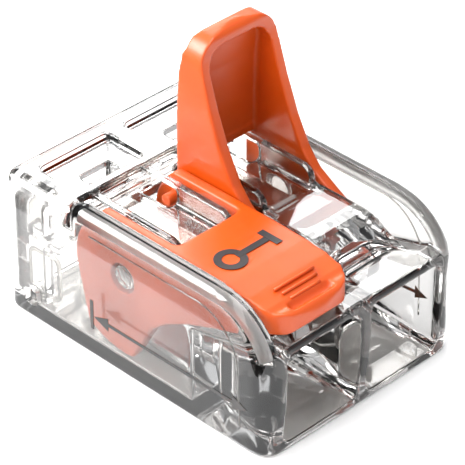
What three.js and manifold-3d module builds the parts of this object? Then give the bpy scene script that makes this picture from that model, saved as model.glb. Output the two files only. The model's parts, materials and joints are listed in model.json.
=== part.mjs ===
// Two-pole lever wire connector: a clear housing with two funnel-shaped wire entries at the front (-Y),
// a clear cover snapped into the back (+Y), one tin-plated current bar, two steel clamping springs and
// two levers. The left lever is modelled closed and the right lever is modelled open, turned 90 degrees.
// Millimetres, +Z up, origin under the middle of the housing, on the face that it stands on.
import * as THREE from "three";
import { mergeVertices } from "three/addons/utils/BufferGeometryUtils.js";
import { ConvexGeometry } from "three/addons/geometries/ConvexGeometry.js";
import Module from "manifold-3d";

const wasm = await Module();
wasm.setup();

// Driving dimensions.
const WIDTH = 15.2; // overall, X
const DEPTH = 21.1; // overall, Y
const PITCH = 6.5; // from one pole's middle to the next
const WALL = 1.1; // side wall
const FLOOR = 0.7;
const RIDGE_TOP = 9.5; // top of the two side walls
const BLOCK_TOP = 9.1; // top of the closed block at the back
const OPEN_ANGLE = Math.PI / 2;

const HALF_W = WIDTH / 2;
const FRONT = -DEPTH / 2;
const BACK = DEPTH / 2;
const BAY = HALF_W - WALL; // half the clear width between the side walls
const POLES = { left: -PITCH / 2, right: PITCH / 2 };

// Lever: pivot, cheeks and outline, in the closed position.
const PIVOT = { y: 1.4, z: 6.1 };
const PIVOT_PIN_R = 0.8;
const PIVOT_HOLE_R = 0.88;
const LEVER_W = 6.36;
const CHEEK = 0.8;
const LEVER_TOP = 9.2;
const LEVER_PLATE = 0.85;
const CHEEK_SWEEP_R = 5.25; // round foot of the cheek, about the pivot
const HEEL_R = 3.85; // round back of the cheek, about the pivot
const TIP_Y = -10.2;
const WINDOW_Y = -1.6; // front edge of the window between the lever's two arms
const CAM = { y: 3.25, z: 7.9, r: 0.42, reach: 1.03 }; // lug that presses the spring's edge

// Metal parts.
const BAR = { bottom: 6.35, thickness: 0.7, front: -0.4, back: 7.6, tongueW: 2.1 };
const SPRING = { t: 0.35, w: 3.1, bowY: -2.5, bowZ: 2.25, bowR: 1.15, tipY: 2.4, tipZ: 6.08 };
const LEG_SWING = 0.29 * OPEN_ANGLE; // how far the clamping leg swings while a lever opens

const ARC_STEPS = 14;

// ---------- shape helpers ----------

function arc(cy, cz, r, from, to, steps = ARC_STEPS) {
  const points = [];
  for (let i = 0; i <= steps; i++) {
    const a = THREE.MathUtils.degToRad(from + ((to - from) * i) / steps);
    points.push([cy + r * Math.cos(a), cz + r * Math.sin(a)]);
  }
  return points;
}

function solid(geometry) {
  const g = geometry.index ? geometry.toNonIndexed() : geometry.clone();
  for (const name of Object.keys(g.attributes)) if (name !== "position") g.deleteAttribute(name);
  const merged = mergeVertices(g, 1e-4);
  return new wasm.Manifold(
    new wasm.Mesh({
      numProp: 3,
      vertProperties: merged.attributes.position.array,
      triVerts: new Uint32Array(merged.index.array),
    }),
  );
}

function outline(points) {
  const shape = new THREE.Shape(points.map(([a, b]) => new THREE.Vector2(a, b)));
  return THREE.ShapeUtils.isClockWise(shape.getPoints()) ? new THREE.Shape(shape.getPoints().reverse()) : shape;
}

function extrude(points, depth, round = 0) {
  const bevel = { bevelEnabled: round > 0, bevelSize: round, bevelThickness: round, bevelOffset: -round };
  const g = new THREE.ExtrudeGeometry(outline(points), {
    depth: depth - 2 * round,
    curveSegments: 1,
    bevelSegments: 5,
    ...bevel,
  });
  return g.translate(0, 0, round);
}

// An outline in (y, z) pushed along X, in (x, y) pushed along Z, and in (x, z) pushed along Y.
function prismX(points, x0, x1, round = 0) {
  const turn = new THREE.Matrix4().makeBasis(
    new THREE.Vector3(0, 1, 0),
    new THREE.Vector3(0, 0, 1),
    new THREE.Vector3(1, 0, 0),
  );
  return solid(extrude(points, x1 - x0, round).applyMatrix4(turn).translate(x0, 0, 0));
}

function prismZ(points, z0, z1, round = 0) {
  return solid(extrude(points, z1 - z0, round).translate(0, 0, z0));
}

function prismY(points, y0, y1, round = 0) {
  return solid(extrude(points, y1 - y0, round).rotateX(Math.PI / 2).translate(0, y1, 0));
}

function box(x0, x1, y0, y1, z0, z1) {
  const g = new THREE.BoxGeometry(x1 - x0, y1 - y0, z1 - z0);
  return solid(g.translate((x0 + x1) / 2, (y0 + y1) / 2, (z0 + z1) / 2));
}

function rodX(y, z, r, x0, x1, sides = 28) {
  return solid(new THREE.CylinderGeometry(r, r, x1 - x0, sides).rotateZ(Math.PI / 2).translate((x0 + x1) / 2, y, z));
}

function roundedRect(a0, a1, b0, b1, r, steps = 5) {
  return [
    ...arc(a1 - r, b1 - r, r, 0, 90, steps),
    ...arc(a0 + r, b1 - r, r, 90, 180, steps),
    ...arc(a0 + r, b0 + r, r, 180, 270, steps),
    ...arc(a1 - r, b0 + r, r, 270, 360, steps),
  ];
}

const join = (first, ...rest) => rest.reduce((a, b) => a.add(b), first);
const cut = (first, ...rest) => rest.reduce((a, b) => a.subtract(b), first);
const mirrored = (make) => [make(-1), make(1)];

function mesh(name, made, material) {
  const { vertProperties, triVerts, numProp } = made.getMesh();
  const positions = new Float32Array((vertProperties.length / numProp) * 3);
  for (let i = 0; i < positions.length / 3; i++)
    positions.set(vertProperties.subarray(i * numProp, i * numProp + 3), i * 3);
  const g = new THREE.BufferGeometry();
  g.setAttribute("position", new THREE.BufferAttribute(positions, 3));
  g.setIndex(new THREE.BufferAttribute(triVerts, 1));
  g.computeVertexNormals();
  const m = new THREE.Mesh(g, material);
  m.name = name;
  return m;
}

// ---------- materials ----------

const clear = new THREE.MeshStandardMaterial({ color: 0xe6e9ea, roughness: 0.05, transparent: true, opacity: 0.3 });
const orange = new THREE.MeshStandardMaterial({ color: 0xf25a1a, roughness: 0.38 });
const tinned = new THREE.MeshStandardMaterial({ color: 0xc9c7c2, roughness: 0.28, metalness: 1 });
const springSteel = new THREE.MeshStandardMaterial({ color: 0xb4b6b8, roughness: 0.22, metalness: 1 });

// ---------- lever ----------

// The cheek's edge under the tongue, from the tip back to where its round foot begins.
const CHEEK_EDGE = [
  [-9.5, 7.25],
  [-8.7, 7.2],
  [-7.65, 6.9],
  [-5.9, 6.35],
  [-3.7, 5.5],
  [-1.9, 4.55],
  [-0.9, 3.7],
  [-0.2, 2.5],
  [0.3, 1.6],
];

function leverProfile() {
  return [
    ...CHEEK_EDGE,
    ...arc(PIVOT.y, PIVOT.z, CHEEK_SWEEP_R, 263, 304, 8),
    ...arc(PIVOT.y, PIVOT.z, HEEL_R, -12, 53, 12),
    [-4.0, LEVER_TOP],
    [-6.0, 9.15],
    [-7.6, 9.02],
    [-8.8, 8.8],
    ...arc(TIP_Y + 0.8, 7.93, 0.75, 70, 255, 12),
  ];
}

function leverPlan() {
  const half = LEVER_W / 2;
  const tipHalf = half - 0.14;
  const r = 1.75;
  return [
    [half, 6],
    [half, -4.5],
    [half - 0.06, -6.2],
    ...arc(tipHalf - r, TIP_Y + 0.2 + r, r, -4, -74, 10),
    [0, TIP_Y],
    ...arc(-(tipHalf - r), TIP_Y + 0.2 + r, r, 254, 184, 10),
    [-(half - 0.06), -6.2],
    [-half, -4.5],
    [-half, 6],
  ];
}

function lever() {
  const half = LEVER_W / 2;
  const inner = half - CHEEK;
  const body = prismX(leverProfile(), -half, half, 0.22).intersect(prismZ(leverPlan(), -1, 12));
  // The hollow under the tongue: the plate above it is 0.85 mm and a rim stays at the tip.
  const under = prismX(
    [
      [-9.3, 0],
      [-9.3, 7.75],
      [-8.9, 8.0],
      [-7.0, 8.22],
      [-5.0, LEVER_TOP - LEVER_PLATE - 0.05],
      [WINDOW_Y - 0.5, LEVER_TOP - LEVER_PLATE],
      [WINDOW_Y - 0.5, 8.3],
      [7, 8.3],
      [7, 0],
    ],
    -inner,
    inner,
  );
  const hollowPlan = prismZ(
    [
      [inner, 8],
      [inner, -5.6],
      ...arc(inner - 1.35, -7.85, 1.35, 5, -85, 8),
      ...arc(-inner + 1.35, -7.85, 1.35, 265, 175, 8),
      [-inner, -5.6],
      [-inner, 8],
    ],
    -1,
    12,
  );
  const window = prismZ(roundedRect(-inner, inner, WINDOW_Y, 9, 0.35, 4), 7, 12);
  const hole = rodX(PIVOT.y, PIVOT.z, PIVOT_HOLE_R, -9, 9);
  const cams = mirrored((side) =>
    rodX(CAM.y, CAM.z, CAM.r, Math.min(side * (inner - CAM.reach), side * half * 0.95),
      Math.max(side * (inner - CAM.reach), side * half * 0.95), 20),
  );
  const grip = prismX(arc(-9.35, 8.65, 0.28, 0, 330, 11), -1.6, 1.6);
  return cut(join(cut(body, under.intersect(hollowPlan), window), ...cams), hole, grip);
}

// ---------- housing ----------

function wallProfile() {
  const nose = { y: -6.2, z: 5.1, r: 4.35 };
  return [
    [FRONT + 0.42, -3],
    [FRONT + 0.3, 1.2],
    [FRONT + 0.1, 3.2],
    ...arc(nose.y, nose.z, nose.r, 176, 92, 20),
    [nose.y, RIDGE_TOP],
    [4.6, RIDGE_TOP],
    [5.3, BLOCK_TOP + 0.05],
    [BACK + 4, BLOCK_TOP + 0.05],
    [BACK + 4, -3],
  ];
}

function footprint(inset = 0) {
  const front = 1.6;
  const back = 0.8;
  const x = HALF_W - inset;
  return [
    ...arc(x - back, BACK - inset - back, back, 0, 90, 6),
    ...arc(-x + back, BACK - inset - back, back, 90, 180, 6),
    ...arc(-x + front, FRONT + inset + front, front, 180, 270, 8),
    ...arc(x - front, FRONT + inset + front, front, 270, 360, 8),
  ];
}

// Below this line the cheeks have room to swing, in the strips beside each pole's hood.
function slotProfile() {
  const clearance = 0.15;
  const swing = arc(PIVOT.y, PIVOT.z, CHEEK_SWEEP_R + clearance, 188, 292, 18);
  return [
    [-8.95, 14],
    [-8.95, 6.8],
    [-7.8, 6.6 - clearance],
    [-6.1, 6.1 - clearance],
    [swing[0][0], 5.45],
    ...swing,
    [5.45, 2.2],
    [5.45, 14],
  ];
}

function hoodTop() {
  return [
    [-12, 14],
    [-12, 6.9],
    [-10.3, 6.9],
    [-8.0, 6.92],
    [-7.4, 7.12],
    [-6.8, 7.45],
    [-6.2, 7.8],
    [-5.4, 8.02],
    [WINDOW_Y - 0.2, 8.02],
    [WINDOW_Y - 0.2, 7.9],
    [5.45, 7.9],
    [5.45, 14],
  ];
}

function entry(cx) {
  const mouth = roundedRect(cx - 2.82, cx + 2.87, 0.6, 6.35, 0.55, 5);
  const shoulder = roundedRect(cx - 2.25, cx + 2.25, 1.3, 6.1, 1.1, 5);
  const throat = roundedRect(cx - 1.6, cx + 1.6, 2.95, 5.8, 1.3, 5);
  const at = (points, y) => points.map(([x, z]) => new THREE.Vector3(x, y, z));
  const lead = new ConvexGeometry([...at(mouth, FRONT - 0.6), ...at(mouth, -8.6), ...at(shoulder, -5.9)]);
  const neck = new ConvexGeometry([...at(shoulder, -5.95), ...at(throat, -5.2)]);
  return join(solid(lead), solid(neck), prismY(throat, -5.25, -4));
}

function deck(cx) {
  const cover = box(cx - 1.15, cx + 1.15, WINDOW_Y - 0.4, 5.7, 7.45, 7.9);
  const ears = mirrored((side) => {
    const near = cx + side * 1.65;
    const far = cx + side * 2.22;
    const profile = [
      [WINDOW_Y - 0.4, 7.2],
      [WINDOW_Y + 0.9, 6.4],
      ...arc(PIVOT.y, PIVOT.z, 1.15, 200, 340, 10),
      [2.72, 6.6],
      [2.72, 8.7],
      [5.7, 8.7],
      [5.7, 9.05],
      [WINDOW_Y + 0.8, 9.05],
      [WINDOW_Y + 0.25, 8.75],
      [WINDOW_Y + 0.1, 8.02],
      [WINDOW_Y - 0.4, 8.02],
    ];
    const plate = prismX(profile, Math.min(near, far), Math.max(near, far));
    const pinEnd = cx + side * (LEVER_W / 2 - 0.12);
    const pin = rodX(PIVOT.y, PIVOT.z, PIVOT_PIN_R, Math.min(near, pinEnd), Math.max(near, pinEnd));
    return join(plate, pin);
  });
  return join(cover, ...ears);
}

function housing() {
  const outer = prismX(wallProfile(), -HALF_W, HALF_W, 1.0).intersect(prismZ(footprint(), 0, 14, 0.3));
  const bay = prismX(hoodTop(), -BAY, BAY);
  const slots = [
    [-BAY, POLES.left - 2.25],
    [POLES.left + 2.25, POLES.right - 2.25],
    [POLES.right + 2.25, BAY],
  ].map(([x0, x1]) => prismX(slotProfile(), x0, x1));
  const cavity = prismX(
    [
      [-4.2, FLOOR],
      [-4.2, 7.25],
      [-3.4, 7.45],
      [5.9, 7.45],
      [5.9, 8.15],
      [BACK + 3, 8.15],
      [BACK + 3, FLOOR],
    ],
    -BAY,
    BAY,
  );
  const entries = Object.values(POLES).map(entry);
  const probeSlots = Object.values(POLES).map((cx) =>
    join(
      prismZ(roundedRect(cx - 2.6, cx + 2.6, 6.25, 9.3, 0.3, 3), BLOCK_TOP - 0.4, 12),
      box(cx - 1.1, cx + 1.1, 6.7, 7.7, 7, 12),
    ),
  );
  const latchHoles = mirrored((side) =>
    box(Math.min(side * 6.4, side * 8), Math.max(side * 6.4, side * 8), 8.1, 9.0, 1.0, 2.0),
  );
  const camSlots = Object.values(POLES).flatMap((cx) =>
    mirrored((side) => {
      const near = cx + side * 1.15;
      const far = cx + side * 2.4;
      return box(Math.min(near, far), Math.max(near, far), 2.72, 5.1, 7, 8.2);
    }),
  );
  const shell = cut(outer, bay, ...slots, ...camSlots, cavity, ...entries, ...probeSlots, ...latchHoles);
  return join(shell, ...Object.values(POLES).map(deck));
}

// ---------- back cover ----------

function backCover() {
  const gap = 0.12;
  const x = BAY - gap;
  const plate = prismY(roundedRect(-x, x, FLOOR + gap, 8.15 - gap, 0.4, 4), BACK - 0.95, BACK - 0.15);
  const ribs = [-x, -0.45, x - 0.8].map((x0) => box(x0, x0 + (x0 === -0.45 ? 0.9 : 0.8), 7.9, BACK - 0.5, FLOOR + gap, 8.03));
  const shelf = box(-x, x, 6.6, BACK - 0.5, 4.9, 5.5);
  const seats = Object.values(POLES).map((cx) => box(cx - 0.35, cx + 0.35, 6.6, BACK - 0.5, 5.4, BAR.bottom - 0.1));
  const pockets = [-x + 0.8, 0.45].map((x0) => box(x0 + 0.9, x0 + 4.35, 7.3, BACK - 0.95, 4, 6));
  const latches = mirrored((side) =>
    box(Math.min(side * x, side * (HALF_W - 0.15)), Math.max(side * x, side * (HALF_W - 0.15)), 8.25, 8.85, 1.12, 1.88),
  );
  const probeHoles = Object.values(POLES).map((cx) =>
    prismY(roundedRect(cx - 1.1, cx + 1.1, 2.2, 3.6, 0.25, 3), 9, 12),
  );
  return cut(join(plate, ...ribs, shelf, ...seats, ...latches), ...pockets, ...probeHoles);
}

// ---------- metal parts ----------

// A strip of the spring's thickness along a centre line in (y, z).
function strip(line, thickness) {
  const side = (sign) =>
    line.map(([y, z], i) => {
      const [y0, z0] = line[Math.max(i - 1, 0)];
      const [y1, z1] = line[Math.min(i + 1, line.length - 1)];
      const length = Math.hypot(y1 - y0, z1 - z0);
      return [y - (sign * (z1 - z0) * thickness) / 2 / length, z + (sign * (y1 - y0) * thickness) / 2 / length];
    });
  return [...side(1), ...side(-1).reverse()];
}

function currentBar() {
  const top = BAR.bottom + BAR.thickness;
  const tongues = Object.values(POLES).map((cx) => {
    const noseR = 0.85;
    const line = [
      ...arc(BAR.front, BAR.bottom + BAR.thickness / 2 + noseR, noseR, 205, 270, 8),
      [5.9, BAR.bottom + BAR.thickness / 2],
    ];
    return prismX(strip(line, BAR.thickness), cx - BAR.tongueW / 2, cx + BAR.tongueW / 2, 0.06);
  });
  const across = box(-5.9, 5.9, 5.75, BAR.back, BAR.bottom, top);
  const tails = Object.values(POLES).map((cx) =>
    cut(
      box(cx - 1.95, cx + 1.95, 5.75, 6.35, 1.3, BAR.bottom + 0.1),
      prismY(roundedRect(cx - 1.35, cx + 1.35, 2.0, 5.7, 0.4, 4), 5, 7),
    ),
  );
  return join(across, ...tongues, ...tails);
}

function springLegStart() {
  // Where the straight clamping leg leaves the bow, tangent to it, on its way to the tip.
  const dy = SPRING.tipY - SPRING.bowY;
  const dz = SPRING.tipZ - SPRING.bowZ;
  const bearing = Math.atan2(dz, dy) + Math.acos(SPRING.bowR / Math.hypot(dy, dz));
  return THREE.MathUtils.radToDeg(bearing);
}

function springBase(cx) {
  const { bowY, bowZ, bowR, t, w } = SPRING;
  const line = [
    [6.55, 1.9],
    [6.55, 1.3],
    [6.4, 1.15],
    [6.1, bowZ - bowR],
    ...arc(bowY, bowZ, bowR, 270, springLegStart() + 14, 16),
  ];
  return prismX(strip(line, t), cx - w / 2, cx + w / 2);
}

function springLeg(cx) {
  const { bowY, bowZ, bowR, tipY, tipZ, t, w } = SPRING;
  const angle = springLegStart() + 6;
  const start = arc(bowY, bowZ, bowR, angle, springLegStart(), 2);
  return prismX(strip([...start, [tipY, tipZ]], t), cx - w / 2, cx + w / 2);
}

// ---------- assembly ----------

// A piece turned about an axis along X, through (y, z).
function turned(piece, y, z, angle) {
  const hinge = new THREE.Group();
  hinge.position.set(0, y, z);
  hinge.rotation.x = angle;
  piece.position.set(0, -y, -z);
  hinge.add(piece);
  return hinge;
}

const connector = new THREE.Group();
connector.add(mesh("housing_shell", housing(), clear));
connector.add(mesh("back_cover", backCover(), clear));
connector.add(mesh("current_bar", currentBar(), tinned));

for (const [side, cx] of Object.entries(POLES)) {
  const open = side === "right";
  const leverMesh = mesh(`lever_${side}`, lever().translate([cx, 0, 0]), orange);
  connector.add(turned(leverMesh, PIVOT.y, PIVOT.z, open ? -OPEN_ANGLE : 0));
  connector.add(mesh(`clamp_spring_${side}`, springBase(cx), springSteel));
  const leg = mesh(`clamp_leg_${side}`, springLeg(cx), springSteel);
  connector.add(turned(leg, SPRING.bowY, SPRING.bowZ, open ? -LEG_SWING : 0));
}

export default connector;
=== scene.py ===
import json
import math

import bmesh
import bpy
from mathutils import Matrix, Vector

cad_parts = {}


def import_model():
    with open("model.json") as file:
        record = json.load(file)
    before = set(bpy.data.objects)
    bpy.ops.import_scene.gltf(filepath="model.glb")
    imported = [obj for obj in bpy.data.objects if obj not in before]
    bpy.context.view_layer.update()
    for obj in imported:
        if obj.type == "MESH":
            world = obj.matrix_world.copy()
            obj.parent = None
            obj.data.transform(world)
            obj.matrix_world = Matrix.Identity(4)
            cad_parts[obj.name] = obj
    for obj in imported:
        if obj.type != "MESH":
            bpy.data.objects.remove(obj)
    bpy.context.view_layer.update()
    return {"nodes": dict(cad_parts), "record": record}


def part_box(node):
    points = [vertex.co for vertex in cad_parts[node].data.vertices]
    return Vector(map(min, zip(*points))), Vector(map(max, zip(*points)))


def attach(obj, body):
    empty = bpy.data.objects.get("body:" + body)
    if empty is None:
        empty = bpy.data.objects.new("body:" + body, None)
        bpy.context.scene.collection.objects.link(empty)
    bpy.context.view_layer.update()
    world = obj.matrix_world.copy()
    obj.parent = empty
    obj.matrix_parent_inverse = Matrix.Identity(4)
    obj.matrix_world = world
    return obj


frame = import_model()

MM = 0.001
JOINTS = {j["name"]: j for j in frame["record"]["behaviour"]["joints"]}
SHELL_LO, SHELL_HI = [Vector(c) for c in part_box("housing_shell")]
SIDES = {"left": -1, "right": 1}
CENTRE = Vector((0, 0, 0.005))  # what the lights and cards face

# In millimetres. The moulded skins sit a little inside the CAD faces, so that prints can lie on them.
SKIN = 0.04
VOXEL = 0.1
GAUGE_LIFT = 0.001  # from the CAD face to the outside of the printed gauge
GAUGE_INK = 0.03
MARK_BOTTOM = 9.165  # height of the underside of the lever's print, on a closed lever
MARK_INK = 0.033
LEVER_TOP = 9.2


# ---------- materials ----------


def new_material(name):
    m = bpy.data.materials.new(name)
    m.use_nodes = True
    tree = m.node_tree
    return m, tree, tree.nodes["Principled BSDF"]


def noise(tree, scale, detail=4.0, rough=0.5, stretch=(1, 1, 1)):
    """A noise texture over the object, scale in features per metre."""
    coords = tree.nodes.new("ShaderNodeTexCoord")
    mapping = tree.nodes.new("ShaderNodeMapping")
    mapping.inputs["Scale"].default_value = stretch
    tex = tree.nodes.new("ShaderNodeTexNoise")
    tex.inputs["Scale"].default_value = scale
    tex.inputs["Detail"].default_value = detail
    tex.inputs["Roughness"].default_value = rough
    tree.links.new(coords.outputs["Object"], mapping.inputs["Vector"])
    tree.links.new(mapping.outputs["Vector"], tex.inputs["Vector"])
    return tex


NOISE_RANGE = (0.35, 0.65)  # where most of a noise texture's values lie


def ramp_value(tree, source, low, high):
    """The noise as a value from low to high."""
    spread = tree.nodes.new("ShaderNodeMapRange")
    spread.inputs["From Min"].default_value = NOISE_RANGE[0]
    spread.inputs["From Max"].default_value = NOISE_RANGE[1]
    spread.inputs["To Min"].default_value = low
    spread.inputs["To Max"].default_value = high
    tree.links.new(source.outputs["Fac"], spread.inputs["Value"])
    return spread


def mix_colour(tree, source, first, second):
    """The noise as a colour from first to second."""
    ramp = tree.nodes.new("ShaderNodeValToRGB")
    for element, position, colour in zip(ramp.color_ramp.elements, NOISE_RANGE, (first, second)):
        element.position = position
        element.color = (*colour, 1)
    tree.links.new(source.outputs["Fac"], ramp.inputs["Fac"])
    return ramp


def finish_surface(tree, bsdf, colours, rough, grain, bump, stretch=(1, 1, 1)):
    """Colour drift, uneven gloss and a fine grain."""
    drift = noise(tree, 180, 3)
    tree.links.new(mix_colour(tree, drift, *colours).outputs["Color"], bsdf.inputs["Base Color"])
    gloss = noise(tree, 900, 5, 0.6, stretch)
    tree.links.new(ramp_value(tree, gloss, *rough).outputs["Result"], bsdf.inputs["Roughness"])
    fine = noise(tree, grain, 3, 0.55, stretch)
    relief = tree.nodes.new("ShaderNodeBump")
    relief.inputs["Strength"].default_value = bump
    relief.inputs["Distance"].default_value = 0.01 * MM
    tree.links.new(fine.outputs["Fac"], relief.inputs["Height"])
    tree.links.new(relief.outputs["Normal"], bsdf.inputs["Normal"])


def clear_plastic(name, first, second, rough, bump):
    m, tree, bsdf = new_material(name)
    finish_surface(tree, bsdf, (first, second), rough, 700, bump)
    bsdf.inputs["Transmission Weight"].default_value = 1.0
    bsdf.inputs["IOR"].default_value = 1.56
    bsdf.inputs["Specular IOR Level"].default_value = 0.6
    return m


def moulded_plastic(name, first, second, rough, bump):
    m, tree, bsdf = new_material(name)
    finish_surface(tree, bsdf, (first, second), rough, 9000, bump)
    bsdf.inputs["IOR"].default_value = 1.5
    bsdf.inputs["Coat Weight"].default_value = 0.15
    bsdf.inputs["Coat Roughness"].default_value = 0.22
    bsdf.inputs["Subsurface Weight"].default_value = 0.12
    bsdf.inputs["Subsurface Radius"].default_value = (1.0, 0.35, 0.12)
    bsdf.inputs["Subsurface Scale"].default_value = 0.5 * MM
    return m


def metal(name, first, second, rough, bump, stretch):
    m, tree, bsdf = new_material(name)
    finish_surface(tree, bsdf, (first, second), rough, 4000, bump, stretch)
    bsdf.inputs["Metallic"].default_value = 1.0
    return m


CLEAR = clear_plastic("clear_housing", (0.80, 0.785, 0.765), (0.89, 0.88, 0.865), (0.02, 0.07), 0.1)
CLEAR_COVER = clear_plastic("clear_cover", (0.78, 0.77, 0.75), (0.87, 0.86, 0.845), (0.03, 0.1), 0.12)
# Darker clear plastic for the thin beads below: painted shade, for the dark outlines that light gives the
# edges of clear parts.
EDGE_SHADE_CLEAR = clear_plastic("clear_edge_painted_shade", (0.52, 0.51, 0.49), (0.64, 0.63, 0.6), (0.05, 0.12), 0.1)
# Whitish, rough clear plastic: a painted highlight, for the bright sheen along the ridge of each side
# wall.
RIDGE_HIGHLIGHT = clear_plastic("painted_ridge_highlight", (0.93, 0.93, 0.92), (0.98, 0.98, 0.97), (0.45, 0.6), 0.3)
ORANGE = moulded_plastic("orange_lever", (0.57, 0.068, 0.003), (0.63, 0.082, 0.005), (0.32, 0.42), 0.12)
INK = moulded_plastic("printed_ink", (0.012, 0.012, 0.013), (0.03, 0.03, 0.032), (0.45, 0.6), 0.2)
GREY_INK = moulded_plastic("gauge_ink", (0.02, 0.02, 0.02), (0.045, 0.045, 0.045), (0.45, 0.6), 0.2)
TINNED = metal("tinned_copper", (0.72, 0.70, 0.67), (0.84, 0.83, 0.81), (0.14, 0.28), 0.2, (0.15, 1, 1))
STEEL = metal("spring_steel", (0.6, 0.61, 0.63), (0.75, 0.76, 0.78), (0.12, 0.24), 0.25, (1, 0.1, 1))


# ---------- mesh helpers ----------


def add_object(name, bm, material, smooth=True):
    """Makes the object from bm, with its faces turned outwards, and frees bm."""
    bmesh.ops.recalc_face_normals(bm, faces=bm.faces)
    mesh = bpy.data.meshes.new(name)
    bm.to_mesh(mesh)
    bm.free()
    for polygon in mesh.polygons:
        polygon.use_smooth = smooth
    obj = bpy.data.objects.new(name, mesh)
    obj.data.materials.append(material)
    bpy.context.scene.collection.objects.link(obj)
    return obj


def painted(node, material):
    """The CAD node, with this material in place of its own."""
    obj = frame["nodes"][node]
    obj.data.materials.clear()
    obj.data.materials.append(material)
    return obj


def moulded_node(node, material, rounds):
    """The CAD node with its edges rounded off as moulding leaves them. More rounds make them rounder."""
    obj = painted(node, material)
    remesh = obj.modifiers.new("moulded", "REMESH")
    remesh.mode = "VOXEL"
    remesh.voxel_size = VOXEL * MM
    remesh.use_smooth_shade = True
    soften = obj.modifiers.new("rounded", "SMOOTH")
    soften.factor = 0.6
    soften.iterations = rounds
    inset = obj.modifiers.new("inset", "DISPLACE")
    inset.strength = -SKIN * MM
    inset.mid_level = 0


def strip_node(node, material):
    """The CAD node of a bent strip, with its sheared edges eased."""
    obj = painted(node, material)
    edge = obj.modifiers.new("edge", "BEVEL")
    edge.width = 0.05 * MM
    edge.segments = 2
    edge.angle_limit = math.radians(60)


def slab(name, outline, place, depth, material):
    """An outline [(a, b)] in mm pushed by depth mm. place(a, b, c) gives the point in the frame."""
    bm = bmesh.new()
    low = [bm.verts.new(place(a, b, 0.0)) for a, b in outline]
    high = [bm.verts.new(place(a, b, depth)) for a, b in outline]
    bm.faces.new(low)
    bm.faces.new(high[::-1])
    count = len(outline)
    for i in range(count):
        j = (i + 1) % count
        bm.faces.new((low[i], high[i], high[j], low[j]))
    return add_object(name, bm, material, smooth=False)


def ring_about(bm, centre, along, radius, sides):
    """The vertices of a circle of that radius in metres about centre, square to along."""
    side = Vector((1, 0, 0)) if abs(along.x) < 0.9 else Vector((0, 0, 1))
    side = (side - along * side.dot(along)).normalized()
    other = along.cross(side)
    turns = [2 * math.pi * k / sides for k in range(sides)]
    return [bm.verts.new(centre + (side * math.cos(a) + other * math.sin(a)) * radius) for a in turns]


def tube(name, points, radius, material, sides=10, closed=False):
    """A round bead of that radius in mm along points, which are in metres."""
    bm = bmesh.new()
    rings = []
    count = len(points)
    for i, point in enumerate(points):
        before = points[(i - 1) % count] if closed or i else point
        after = points[(i + 1) % count] if closed or i < count - 1 else point
        rings.append(ring_about(bm, point, (after - before).normalized(), radius * MM, sides))
    spans = count if closed else count - 1
    for i in range(spans):
        a, b = rings[i], rings[(i + 1) % count]
        for k in range(sides):
            bm.faces.new((a[k], a[(k + 1) % sides], b[(k + 1) % sides], b[k]))
    if not closed:
        bm.faces.new(rings[0][::-1])
        bm.faces.new(rings[-1])
    return add_object(name, bm, material)


def arc(ca, cb, r, start, end, steps=8):
    """Points of an arc about (ca, cb), from start to end in degrees."""
    turns = [math.radians(start + (end - start) * i / steps) for i in range(steps + 1)]
    return [(ca + r * math.cos(a), cb + r * math.sin(a)) for a in turns]


def rectangle(a0, a1, b0, b1):
    return [(a0, b0), (a1, b0), (a1, b1), (a0, b1)]


def rounded(a0, a1, b0, b1, r):
    """A rectangle with round corners."""
    return (
        arc(a1 - r, b1 - r, r, 0, 90)
        + arc(a0 + r, b1 - r, r, 90, 180)
        + arc(a0 + r, b0 + r, r, 180, 270)
        + arc(a1 - r, b0 + r, r, 270, 360)
    )


# ---------- the CAD pieces, finished ----------

moulded_node("housing_shell", CLEAR, rounds=9)
moulded_node("back_cover", CLEAR_COVER, rounds=4)
moulded_node("current_bar", TINNED, rounds=2)
for name in SIDES:
    moulded_node(f"lever_{name}", ORANGE, rounds=4)
    strip_node(f"clamp_spring_{name}", STEEL)
    strip_node(f"clamp_leg_{name}", STEEL)


# ---------- details on the housing ----------


def on_side(name):
    """(y, z, depth) in mm to a point on that side wall, depth inwards from the CAD face."""
    sign = SIDES[name]
    face = SHELL_LO.x if sign < 0 else SHELL_HI.x
    return lambda y, z, d: Vector((face - sign * d * MM, y * MM, SHELL_LO.z + z * MM))


def gauge(name):
    """The strip-length gauge printed on the side: a stop bar and a two-headed arrow."""
    wall = on_side(name)
    z = 2.9
    line = 0.1
    head = 0.42
    neck_front = -7.75
    neck_back = 2.0
    prints = {
        "stop": rectangle(3.2, 3.45, 2.0, 3.95),
        "shaft": rectangle(neck_front - 0.05, neck_back, z - line, z + line),
        "head_front": [(-8.85, z), (neck_front, z - head), (neck_front, z + head)],
        "head_back": [(3.15, z), (neck_back, z + head), (neck_back, z - head)],
    }

    def place(y, z, d):
        return wall(y, z, GAUGE_LIFT + d)

    for part, outline in prints.items():
        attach(slab(f"gauge_{part}_{name}", outline, place, GAUGE_INK, GREY_INK), "housing")


def panel_line(name):
    """The fine line that edges the panel of the side wall; its dark tint is painted shade."""
    place = on_side(name)
    radius = 0.065
    line = [(3.4, 8.2), (-5.0, 8.2)] + arc(-5.0, 5.1, 3.1, 95, 178, 12) + [(-8.2, 3.0), (-8.25, 1.5)]
    points = [place(y, z, radius + 0.005) for y, z in line]
    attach(tube(f"panel_line_{name}", points, radius, EDGE_SHADE_CLEAR), "housing")


def ridge_highlight_bead(name):
    """A whitish bead just inside the wall, along the top of the side wall and over its nose: a painted
    highlight on the rounded ridge there, not a real piece.
    """
    place = on_side(name)
    line = [(4.5, 8.79), (2, 8.8), (-2, 8.8), (-6.1, 8.8)] + arc(-6.2, 5.1, 3.7, 96, 160, 9)
    points = [place(y, z, 0.62) for y, z in line]
    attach(tube(f"ridge_highlight_bead_{name}", points, 0.34, RIDGE_HIGHLIGHT, 16), "housing")


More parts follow.
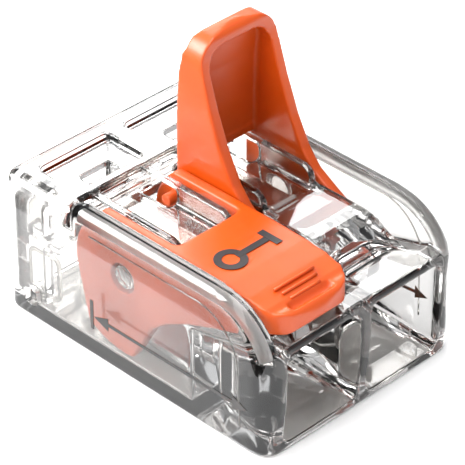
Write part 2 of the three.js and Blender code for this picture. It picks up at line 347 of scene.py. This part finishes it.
def block_edge_shade():
    """A darker round bead along the front edge of the closed block at the back, inside the block: painted
    shade that outlines that edge.
    """
    z = SHELL_HI.z - 0.62 * MM
    points = [Vector((x * MM, 5.62 * MM, z)) for x in (-6.3, -3, 0, 3, 6.3)]
    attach(tube("block_edge_shade", points, 0.2, EDGE_SHADE_CLEAR, 14), "housing")


def inner_frame_shade(name):
    """A rounded ring of darker clear plastic on the insert, just inside the side wall at the back:
    painted shade that outlines the frame there.
    """
    x = SIDES[name] * 6.15
    points = [Vector((x * MM, y * MM, z * MM)) for y, z in rounded(6.9, 9.2, 1.5, 4.4, 0.5)]
    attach(tube(f"cover_frame_shade_{name}", points, 0.14, EDGE_SHADE_CLEAR, 10, closed=True), "housing")


for name in SIDES:
    gauge(name)
    panel_line(name)
for name in SIDES:
    ridge_highlight_bead(name)
block_edge_shade()
for name in SIDES:
    inner_frame_shade(name)


# ---------- details on the levers ----------


def lever_place(name):
    """(x, y, z) in mm on a closed lever, x from its middle, to the frame at rest."""
    pivot = Vector(JOINTS[f"lever_{name}_hinge"]["pos_m"])
    from_pivot = Vector((0, pivot.y, pivot.z))
    turn = Matrix.Rotation(math.radians(-90), 3, "X") if name == "right" else Matrix.Identity(3)
    return lambda x, y, z: pivot + turn @ (Vector((x * MM, y * MM, z * MM)) - from_pivot)


def lever_mark(name):
    """A plain pictogram printed on top of the lever: a ring on a bar that ends in a crossbar."""
    lever = lever_place(name)
    ring_x = -1.3
    ring_y = -4.6
    bar = 0.22
    crossbar = 0.75
    prints = {
        "ring": arc(ring_x, ring_y, 0.95, 14, 346, 22) + arc(ring_x, ring_y, 0.5, 332, 28, 22),
        "bar": rectangle(-0.84, 1.44, ring_y - bar, ring_y + bar),
        "end": rectangle(1.46, 1.92, ring_y - crossbar, ring_y + crossbar),
    }

    def place(x, y, d):
        return lever(x, y, MARK_BOTTOM + d)

    for part, outline in prints.items():
        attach(slab(f"mark_{part}_{name}", outline, place, MARK_INK, INK), f"lever_{name}_body")


def grip(name):
    """Three ribs across the tip of the lever, each shorter and lower than the one behind it."""
    place = lever_place(name)
    for row in range(3):
        y = -8.05 - 0.42 * row
        half = 1.5 - 0.2 * row
        z = LEVER_TOP + 0.02 - (0.2 + 0.09 * row + 0.03 * row * row)
        points = [place(x, y, z) for x in (-half, -half / 2, 0, half / 2, half)]
        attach(tube(f"grip_{row}_{name}", points, 0.09, ORANGE, 10), f"lever_{name}_body")


for name in SIDES:
    lever_mark(name)
    grip(name)


# ---------- floor, light and camera ----------


def sheet(name, width, length, material):
    """A flat rectangle about the origin, in metres."""
    bm = bmesh.new()
    corners = rectangle(-width / 2, width / 2, -length / 2, length / 2)
    bm.faces.new([bm.verts.new((x, y, 0.0)) for x, y in corners])
    return add_object(name, bm, material, smooth=False)


def facing_centre(position, axis):
    """The rotation that turns an object at position so that its axis points at the connector."""
    return (CENTRE - Vector(position)).to_track_quat(axis, "Y").to_euler()


def floor():
    """A pale floor, just under the connector."""
    m, tree, bsdf = new_material("floor")
    grain = noise(tree, 60, 4)
    colour = mix_colour(tree, grain, (0.86, 0.86, 0.86), (0.88, 0.88, 0.88))
    tree.links.new(colour.outputs["Color"], bsdf.inputs["Base Color"])
    bsdf.inputs["Roughness"].default_value = 0.65
    obj = sheet("floor", 1.2, 1.2, m)
    obj.location.z = SHELL_LO.z - 0.01 * MM


def area(name, position, size, power, colour=(1, 1, 1)):
    """A rectangular soft light that faces the connector."""
    light = bpy.data.lights.new(name, "AREA")
    light.shape = "RECTANGLE"
    light.size, light.size_y = size
    light.energy = power
    light.color = colour
    obj = bpy.data.objects.new(name, light)
    obj.location = position
    obj.rotation_euler = facing_centre(position, "-Z")
    bpy.context.scene.collection.objects.link(obj)


def dark_card(name, position, size, flat=False):
    """A black card that the camera does not see. It darkens what the object reflects.

    A standing card also darkens what is seen through the clear plastic. A flat one lies on the table, and
    only reflections show it.
    """
    m, tree, bsdf = new_material(name)
    bsdf.inputs["Base Color"].default_value = (0.035, 0.03, 0.028, 1)
    bsdf.inputs["Roughness"].default_value = 0.9
    obj = sheet(name, *size, m)
    obj.location = position
    if not flat:
        obj.rotation_euler = facing_centre(position, "Z")
    obj.visible_camera = False
    obj.visible_transmission = not flat
    obj.visible_shadow = False
    obj.visible_diffuse = False


def world():
    """Even, slightly cool light from all round."""
    studio = bpy.data.worlds.new("studio")
    studio.use_nodes = True
    background = studio.node_tree.nodes["Background"]
    background.inputs["Color"].default_value = (0.95, 0.97, 1.0, 1)
    background.inputs["Strength"].default_value = 0.62
    bpy.context.scene.world = studio


def camera():
    """A long lens, in front of the left side and above it."""
    target = Vector((1.55, 1.37, 5.0)) * MM
    azimuth = math.radians(-45.0)
    elevation = math.radians(34.81)
    distance = 165.5 * MM
    back = Vector(
        (
            math.sin(azimuth) * math.cos(elevation),
            -math.cos(azimuth) * math.cos(elevation),
            math.sin(elevation),
        )
    )
    data = bpy.data.cameras.new("camera")
    data.sensor_width = 36
    data.lens = 225.6
    data.clip_start = 0.01
    data.clip_end = 10
    obj = bpy.data.objects.new("camera", data)
    obj.location = target + back * distance
    obj.rotation_euler = (-back).to_track_quat("-Z", "Y").to_euler()
    bpy.context.scene.collection.objects.link(obj)
    bpy.context.scene.camera = obj


floor()
world()
area("key", (-0.2, -0.02, 0.22), (0.1, 0.3), 0.45, (1.0, 0.99, 0.97))
area("ridge", (-0.19, 0.2, 0.19), (0.2, 0.16), 1.9)
area("rim", (0.14, 0.22, 0.18), (0.2, 0.08), 0.4)
area("top", (0.0, 0.0, 0.35), (0.2, 0.2), 0.7)
dark_card("card_right", (0.26, -0.12, 0.1), (0.26, 0.2))
dark_card("card_back", (-0.05, 0.3, 0.06), (0.3, 0.12))
dark_card("card_front", (-0.04, -0.32, 0.04), (0.3, 0.1))
dark_card("card_table", (-0.13, 0.08, 0.0004), (0.232, 0.4), flat=True)
camera()
bpy.context.scene.view_settings.view_transform = "Standard"
